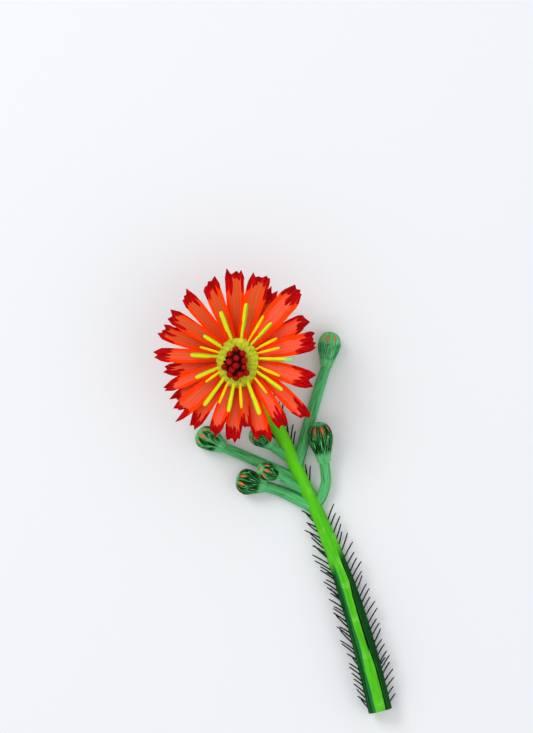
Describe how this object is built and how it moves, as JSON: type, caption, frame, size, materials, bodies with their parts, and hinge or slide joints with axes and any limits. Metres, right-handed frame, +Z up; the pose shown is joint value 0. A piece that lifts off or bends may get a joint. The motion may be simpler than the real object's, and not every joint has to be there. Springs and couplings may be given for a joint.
{
  "type": "fox and cubs flower",
  "caption": "Cut fox and cubs stem lying on its side, with an open orange flower facing up and closed buds on short side stalks.",
  "frame": {"origin": "on the surface the stem lies on, at the middle of the bounding box's bottom face", "axes": "+Z up from the surface, +Y along the stem from its cut end towards the open flower, +X to the right of that, so the stem's cut end lies at +X -Y and the flower at -X +Y"},
  "size_m": [0.0368, 0.067, 0.0144],
  "materials": {
    "stem": "satin",
    "bud": "matte",
    "bracts": "matte",
    "bud_petals": "satin",
    "petals": "satin",
    "yellow_florets": "satin",
    "centre_florets": "gloss"
  },
  "bodies": {
    "root": {"stem": "stem", "flower_bracts": "bracts", "petals": "petals", "yellow_florets": "yellow_florets", "centre_florets": "centre_florets", "bud_1": "bud", "bud_petals_1": "bud_petals", "bud_2": "bud", "bud_petals_2": "bud_petals", "bud_3": "bud", "bud_petals_3": "bud_petals", "bud_4": "bud", "bud_petals_4": "bud_petals", "bud_5": "bud", "bud_petals_5": "bud_petals", "bud_6": "bud", "bud_petals_6": "bud_petals"}
  },
  "joints": []
}
